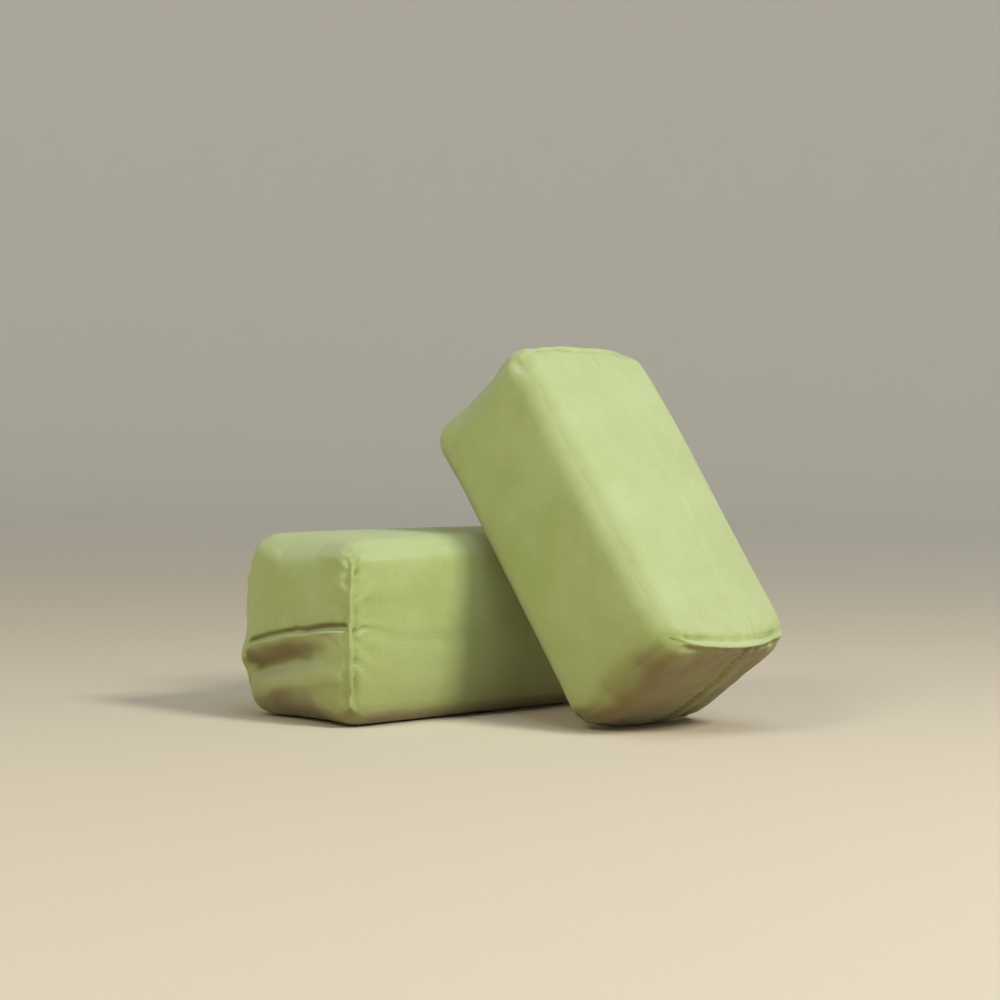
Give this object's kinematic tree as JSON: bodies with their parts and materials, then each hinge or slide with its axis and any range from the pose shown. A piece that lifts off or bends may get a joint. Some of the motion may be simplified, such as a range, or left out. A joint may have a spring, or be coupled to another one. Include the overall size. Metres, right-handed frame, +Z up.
{
  "type": "gymnastics chalk block",
  "caption": "Cloth-covered block of pressed gymnastics chalk lying on its narrow face, with a matching block that stands on one end edge and leans on it.",
  "frame": {"origin": "centre of the lying block's underside, on the surface that both blocks stand on", "axes": "+X along the lying block, +Y from the leaning block's foot towards the lying block, +Z up"},
  "size_m": [0.1, 0.1199, 0.1043],
  "materials": {
    "cover_cloth": "fine plain weave, soft satin sheen",
    "sewing_thread": "twisted cotton",
    "pressed_chalk": "dry, powdery matt"
  },
  "bodies": {
    "lying_block": {"lying_chalk_core": "pressed_chalk", "lying_cloth_cover": "cover_cloth", "lying_side_seam_thread": "sewing_thread", "lying_left_end_seam_thread": "sewing_thread", "lying_right_end_seam_thread": "sewing_thread", "lying_front_left_corner_thread": "sewing_thread", "lying_back_left_corner_thread": "sewing_thread", "lying_front_right_corner_thread": "sewing_thread", "lying_back_right_corner_thread": "sewing_thread"},
    "leaning_block": {"leaning_chalk_core": "pressed_chalk", "leaning_cloth_cover": "cover_cloth", "leaning_side_seam_thread": "sewing_thread", "leaning_left_end_seam_thread": "sewing_thread", "leaning_right_end_seam_thread": "sewing_thread", "leaning_front_left_corner_thread": "sewing_thread", "leaning_back_left_corner_thread": "sewing_thread", "leaning_front_right_corner_thread": "sewing_thread", "leaning_back_right_corner_thread": "sewing_thread"}
  },
  "joints": [
    {"name": "lift", "type": "slide", "parent": "lying_block", "child": "leaning_block", "axis": [0, 0, 1], "range_m": [0, 0.12]}
  ]
}
